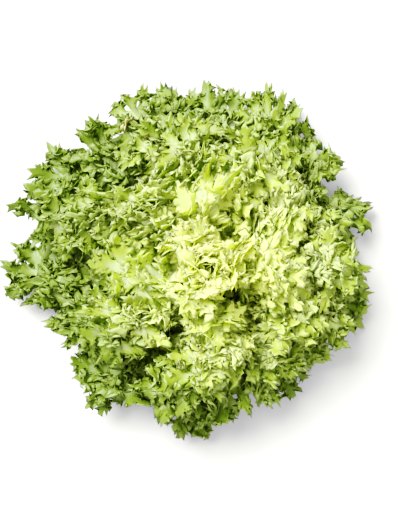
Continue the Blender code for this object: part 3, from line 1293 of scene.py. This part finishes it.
@dataclass
class LeafHead:
    """All the leaves of the head."""

    form: HeadForm = field(default_factory=HeadForm)
    growth: Growth = field(default_factory=Growth)
    frill: Frill = field(default_factory=Frill)
    greening: Greening = field(default_factory=Greening)
    finishes: tuple[LeafFinish, ...] = (
        LeafFinish(LeafGroup.OUTER, roughness=0.38, see_through=0.30),
        LeafFinish(LeafGroup.MIDDLE, roughness=0.36, see_through=0.36),
        LeafFinish(LeafGroup.INNER, roughness=0.36, see_through=0.46),
        LeafFinish(LeafGroup.HEART, roughness=0.36, see_through=0.62),
    )

    def build(self) -> list[bpy.types.Object]:
        """Builds and dresses every leaf, and puts it in its solid's place.

        Returns:
            The leaves.
        """
        materials = {finish.group: finish.build() for finish in self.finishes}
        pieces = []
        for number, plan in enumerate(Planter(self.growth).plan()):
            blade = Blade(self.form, self.growth, self.frill, plan, self.growth.seed * 100 + number)
            blade.grow()
            points, triangles, marks = blade.mesh()
            piece = make_object(plan.node + "_frilled", points, triangles, materials[plan.group])
            differs = blade.draw.uniform(-1, 1)
            green = self.greening.at(points, plan.whorl, len(self.growth.whorls), differs)
            values = {"green": green, "edge": marks[:, 0], "comb": marks[:, 1], "burn": marks[:, 2]}
            values["under"] = marks[:, 3]
            for name, column in values.items():
                piece.data.attributes.new(name, "FLOAT", "POINT").data.foreach_set("value", column)
            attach(piece, "root")
            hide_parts(plan.node)
            pieces.append(piece)
            log.info("%s: %d triangles", piece.name, len(triangles))
        return pieces


@dataclass(frozen=True)
class StemFinish:
    """Peeled-looking stem: moist and fibrous, cream with a green tinge, and browned where the knife cut it."""

    cream: str = "#eef0d2"
    tinge: str = "#d3dfa0"
    cut: str = "#d9c69a"
    browned: str = "#a9794a"
    fibre_spacing: float = 1.1 * MM  # the fibres are finer, and are drawn this coarse so that they show
    blotch_scale: float = 140.0  # the browning is blotched every 7 mm or so
    browned_height: tuple[float, float] = (0.4 * MM, 1.6 * MM)
    bump_depth: float = 0.4 * MM

    def build(self) -> bpy.types.Material:
        """Makes the material.

        Returns:
            The material, whose browning ends just above the cut face at height 0.
        """
        material = new_material("stem_fibrous_skin")
        tree = material.node_tree
        place = add_node(tree, "TexCoord", {}, "Object")
        height = add_node(tree, "SeparateXYZ", {0: place}, 2)
        stretched = add_node(tree, "Mapping", {"Vector": place, "Scale": (1.0, 1.0, 0.12)})
        streaks = {"Vector": stretched, "Scale": 1 / self.fibre_spacing, "Detail": 2.0}
        fibres = add_node(tree, "TexNoise", streaks)
        side = add_node(tree, "ValToRGB", {0: fibres}, stops=((0.3, self.tinge), (0.6, self.cream)))
        blotch = add_node(tree, "TexNoise", {"Vector": place, "Scale": self.blotch_scale, "Detail": 4.0})
        knife = add_node(tree, "ValToRGB", {0: blotch}, stops=((0.40, self.cut), (0.62, self.browned)))
        low, high = self.browned_height
        near_cut = add_node(tree, "MapRange", {0: height, 1: low, 2: high, 3: 1.0, 4: 0.0})
        colour = add_node(tree, "Mix", {0: near_cut, 6: side, 7: knife}, 2, data_type="RGBA")
        bump = add_node(tree, "Bump", {"Strength": 0.4, "Distance": self.bump_depth, "Height": fibres})
        moist = {"Base Color": colour, "Roughness": 0.5, "IOR": 1.4, "Normal": bump}
        skin = add_node(tree, "BsdfPrincipled", moist)
        add_node(tree, "OutputMaterial", {"Surface": skin})
        return material


@dataclass
class Stem:
    """The stub that the leaves grow from: a flat cut, a bulge and a domed crown, fluted by old leaf bases."""

    cut_radius: float = 16.5
    radius: float = 19.0
    shoulder: float = 9.0
    crown: float = 37.0
    sides: int = 96
    flutes: int = 13
    flute_depth: float = 0.7
    crown_rows: int = 14

    def profile(self) -> list[tuple[float, float]]:
        """Draws the stem's side.

        Returns:
            (radius, height) down the side, from just below the crown's top to near the middle of the cut.
        """
        rows = []
        for step in range(1, self.crown_rows + 1):
            turn = math.pi / 2 * (1 - step / self.crown_rows)
            rows.append((self.radius * math.cos(turn), self.shoulder + self.crown * math.sin(turn)))
        rows += [(18.8, 6.5), (18.4, 4.2), (17.8, 2.2), (17.1, 0.8), (self.cut_radius, 0.15)]
        rows += [(self.cut_radius - 0.6, 0.0), (12.0, 0.0), (8.0, 0.0), (4.0, 0.0)]
        return rows

    def build(self) -> bpy.types.Object:
        """Builds and dresses the stem.

        Returns:
            The stem.
        """
        turns = np.arange(self.sides) / self.sides * math.tau
        flute = np.abs(np.sin(turns * self.flutes / 2)) - 0.64
        points = [(0.0, 0.0, self.shoulder + self.crown)]
        for radius, height in self.profile():
            depth = self.flute_depth * ease(height, 0.0, 3.0) * radius / self.radius
            rings = np.minimum(radius + flute * depth, self.radius)
            points += list(zip(rings * np.cos(turns), rings * np.sin(turns), np.full(self.sides, height)))
        points.append((0.0, 0.0, 0.0))
        rows = len(self.profile())
        triangles = []
        for side in range(self.sides):
            after = (side + 1) % self.sides
            triangles.append((0, 1 + side, 1 + after))
            for row in range(rows - 1):
                a, b = 1 + row * self.sides + side, 1 + row * self.sides + after
                triangles += [(a, a + self.sides, b + self.sides), (a, b + self.sides, b)]
            last = 1 + (rows - 1) * self.sides
            triangles.append((last + side, len(points) - 1, last + after))
        stem = make_object("stem_stub", np.array(points), np.array(triangles), StemFinish().build())
        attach(stem, "root")
        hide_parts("stem")
        log.info("%s: %d triangles", stem.name, len(triangles))
        return stem


class ToneCurve(Enum):
    """The picture's tone curves that are bent, by their places in Blender's list."""

    BLUE = 2
    ALL = 3


@dataclass(frozen=True)
class Studio:
    """A pale table seen from straight above, with a window-like light from the upper left."""

    # 0.9 mm to a pixel of a picture 400 by 525 pixels, at the height of the outer leaves' tips.
    frame_height: float = 525 * 0.9 * MM
    frame_middle: tuple[float, float] = (-6.3 * MM, 4.95 * MM)
    frame_level: float = 35 * MM
    camera_height: float = 1.6
    sensor: float = 36.0
    table_half: float = 9.0
    table_colour: str = "#c3c3c0"
    sun_azimuth: float = math.radians(130)
    sun_elevation: float = math.radians(52)
    sun_strength: float = 6.9
    sun_breadth: float = math.radians(38)
    sky_strength: float = 1.06
    sky_colour: str = "#fdfbf7"
    table_glow: float = 0.10
    tones: Bends = ((0.03, 0.012), (0.08, 0.058), (0.2, 0.25), (0.4, 0.50), (0.7, 0.75))
    whitest: float = 0.93
    # The shade between leaves holds hardly any blue, and the lit blades hold more.
    blues: Bends = ((0.01, 0.005), (0.03, 0.02), (0.12, 0.125), (0.3, 0.345), (0.6, 0.63))

    def build_table(self) -> None:
        """Lays the table's plane at the foot of the stem."""
        half = self.table_half
        mesh = bpy.data.meshes.new("pale_table")
        corners = [(-half, -half, 0), (half, -half, 0), (half, half, 0), (-half, half, 0)]
        mesh.from_pydata(corners, [], [(0, 1, 2, 3)])
        material = bpy.data.materials.new("table_matt_pale_laminate")
        material.use_nodes = True
        shader = material.node_tree.nodes["Principled BSDF"]
        shader.inputs["Base Color"].default_value = linear(self.table_colour)
        shader.inputs["Roughness"].default_value = 0.9
        shader.inputs["Emission Color"].default_value = linear(self.table_colour)
        shader.inputs["Emission Strength"].default_value = self.table_glow
        mesh.materials.append(material)
        table = bpy.data.objects.new("pale_table", mesh)
        bpy.context.scene.collection.objects.link(table)

    def build_light(self) -> None:
        """Sets the key light and the even light of the room."""
        sun = bpy.data.lights.new("window_light", "SUN")
        sun.energy = self.sun_strength
        sun.angle = self.sun_breadth
        holder = bpy.data.objects.new("window_light", sun)
        holder.rotation_euler = (0.0, math.pi / 2 - self.sun_elevation, self.sun_azimuth)
        bpy.context.scene.collection.objects.link(holder)
        world = bpy.data.worlds.new("pale_room")
        world.use_nodes = True
        background = world.node_tree.nodes["Background"]
        background.inputs["Color"].default_value = linear(self.sky_colour)
        background.inputs["Strength"].default_value = self.sky_strength
        bpy.context.scene.world = world

    def build_camera(self) -> None:
        """Hangs the camera straight over the head, with the top of the picture towards +Y."""
        camera = bpy.data.cameras.new("overhead_camera")
        camera.sensor_fit = "VERTICAL"
        camera.sensor_height = self.sensor
        camera.lens = self.sensor * (self.camera_height - self.frame_level) / self.frame_height
        holder = bpy.data.objects.new("overhead_camera", camera)
        holder.location = (*self.frame_middle, self.camera_height)
        bpy.context.scene.collection.objects.link(holder)
        bpy.context.scene.camera = holder

    def grade(self) -> None:
        """Sets the picture's tones, with the contrast of a product picture."""
        view = bpy.context.scene.view_settings
        view.view_transform = "Standard"
        view.use_curve_mapping = True
        curves = view.curve_mapping.curves
        for curve, points in ((ToneCurve.ALL, self.tones), (ToneCurve.BLUE, self.blues)):
            for dark, shown in points:
                curves[curve.value].points.new(dark, shown)
        # The palest blades stay short of white, which only the table reaches.
        curves[ToneCurve.ALL.value].points[-1].location = (1.0, self.whitest)
        view.curve_mapping.update()

    def build(self) -> None:
        """Builds the table, the light and the camera."""
        self.build_table()
        self.build_light()
        self.build_camera()
        self.grade()


def main() -> None:
    """Builds the studio, the stem and the leaves, and writes down the sizes."""
    logging.basicConfig(level=logging.INFO, format="%(message)s")
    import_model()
    Studio().build()
    Stem().build()
    leaves = LeafHead().build()
    triangles = sum(len(leaf.data.polygons) for leaf in leaves)
    log.info("%d leaves, %d triangles", len(leaves), triangles)


if __name__ == "__main__":
    main()
